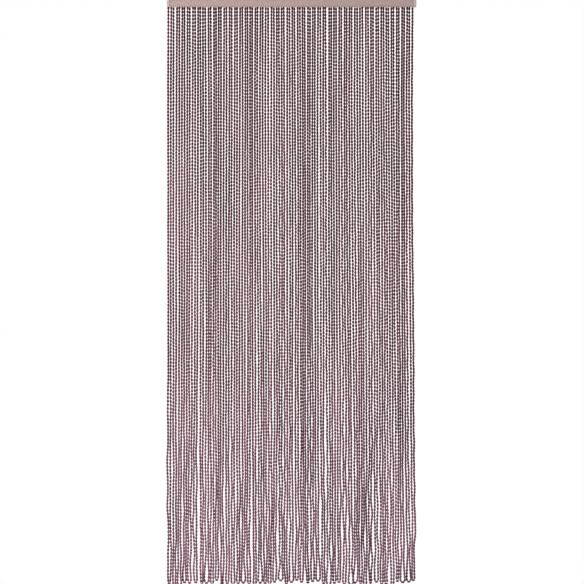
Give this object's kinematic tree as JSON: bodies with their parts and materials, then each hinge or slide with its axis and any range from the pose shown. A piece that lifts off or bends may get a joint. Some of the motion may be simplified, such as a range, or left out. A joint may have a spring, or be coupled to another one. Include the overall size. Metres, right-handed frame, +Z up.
{
  "type": "bead string door curtain and its rail",
  "caption": "Bead string door curtain: one beaded cord zigzags down from a slim capped rail and hangs as a close row of long loops across a doorway.",
  "frame": {"origin": "centre of the rail's flat back face, which lies against the wall or lintel", "axes": "+Z up, along the hanging strands; +Y into the wall, out of the rail's back face; the front looks towards -Y"},
  "size_m": [0.9004, 0.0182, 2.1142],
  "materials": {
    "rail": "satin pinkish taupe paint",
    "end_cap": "fine matt moulding, a shade paler than the rail",
    "bead": "dark aubergine beads with a soft shine"
  },
  "bodies": {
    "root": {"rail": "rail", "end_cap_left": "end_cap", "end_cap_right": "end_cap", "strand_comb": "bead"}
  },
  "joints": []
}
